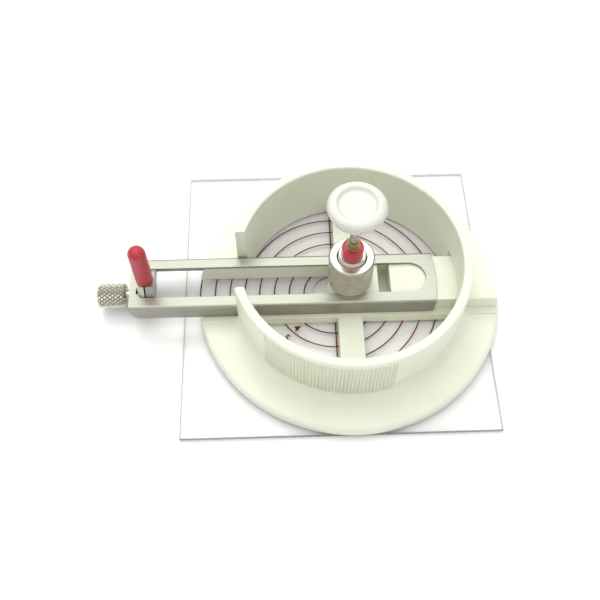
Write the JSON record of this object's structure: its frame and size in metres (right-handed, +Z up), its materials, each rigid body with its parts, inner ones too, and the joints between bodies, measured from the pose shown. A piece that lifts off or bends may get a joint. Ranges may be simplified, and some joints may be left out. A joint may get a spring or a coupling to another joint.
{
  "type": "circle cutter",
  "caption": "Compass circle cutter: ring base with a slotted sliding arm, clamp nut, capped blade in a screw chuck and sprung centre needle, standing on a clear scale plate.",
  "frame": {"origin": "on the needle's axis, in the plane of the scale plate's underside", "axes": "+Z up along the needle, the arm along X with its blade end towards -X"},
  "size_m": [0.1327, 0.1005, 0.053],
  "materials": {
    "clear_plastic": "clear polished sheet with printed red circles",
    "ivory_plastic": "satin ivory moulding",
    "white_plastic": "glossy white moulding",
    "arm_steel": "bright brushed sheet steel",
    "nickel": "turned and nickel plated",
    "tool_steel": "ground steel",
    "red_vinyl": "soft dipped vinyl",
    "red_plastic": "glossy red moulding",
    "brass": "turned brass"
  },
  "bodies": {
    "plate": {"scale_plate": "clear_plastic"},
    "guide": {"guide_bush": "red_plastic", "snap_ring": "tool_steel", "guide_sleeve": "brass", "return_spring": "tool_steel"},
    "base": {"base_ring": "ivory_plastic", "centre_post": "nickel"},
    "arm": {"arm": "arm_steel", "chuck_body": "nickel"},
    "jaw": {"chuck_jaw": "nickel"},
    "clamp": {"clamp_stud": "tool_steel", "clamp_head": "nickel"},
    "blade": {"blade": "tool_steel"},
    "cap": {"blade_cap": "red_vinyl"},
    "washer": {"clamp_washer": "nickel"},
    "nut": {"clamp_nut": "nickel"},
    "spindle": {"knob": "white_plastic", "needle_shaft": "tool_steel", "needle": "tool_steel", "stop_clip": "tool_steel"}
  },
  "joints": [
    {"name": "cutter_lift", "type": "slide", "parent": "plate", "child": "guide", "axis": [0, 0, 1], "range_m": [0, 0.03]},
    {"name": "base_turn", "type": "hinge", "parent": "guide", "child": "base", "pos_m": [0, 0, 0.0225], "axis": [0, 0, 1], "continuous": true},
    {"name": "needle_press", "type": "slide", "parent": "guide", "child": "spindle", "axis": [0, 0, -1], "range_m": [0, 0.006], "stiffness_N_per_m": 250, "springref_m": -0.004, "deforming": ["return_spring"]},
    {"name": "arm_slide", "type": "slide", "parent": "base", "child": "arm", "axis": [1, 0, 0], "range_m": [-0.0195, 0.053]},
    {"name": "washer_lift", "type": "slide", "parent": "base", "child": "washer", "axis": [0, 0, 1], "range_m": [0, 0.001]},
    {"name": "nut_turn", "type": "hinge", "parent": "washer", "child": "nut", "pos_m": [0, 0, 0.019], "axis": [0, 0, 1], "range_deg": [0, 360]},
    {"name": "jaw_slide", "type": "slide", "parent": "arm", "child": "jaw", "axis": [-1, 0, 0], "range_m": [0, 0.0006]},
    {"name": "clamp_turn", "type": "hinge", "parent": "jaw", "child": "clamp", "pos_m": [-0.078, -0.0006, 0.0058], "axis": [-1, 0, 0], "range_deg": [0, 360]},
    {"name": "blade_draw", "type": "slide", "parent": "arm", "child": "blade", "axis": [0, 0, 1], "range_m": [0, 0.014]},
    {"name": "cap_pull", "type": "slide", "parent": "blade", "child": "cap", "axis": [0, 0, 1], "range_m": [0, 0.022]}
  ],
  "couplings": [
    {"joint": "nut_turn", "follows": "washer_lift", "rad_per_m": 6283.2},
    {"joint": "clamp_turn", "follows": "jaw_slide", "rad_per_m": 10472}
  ]
}
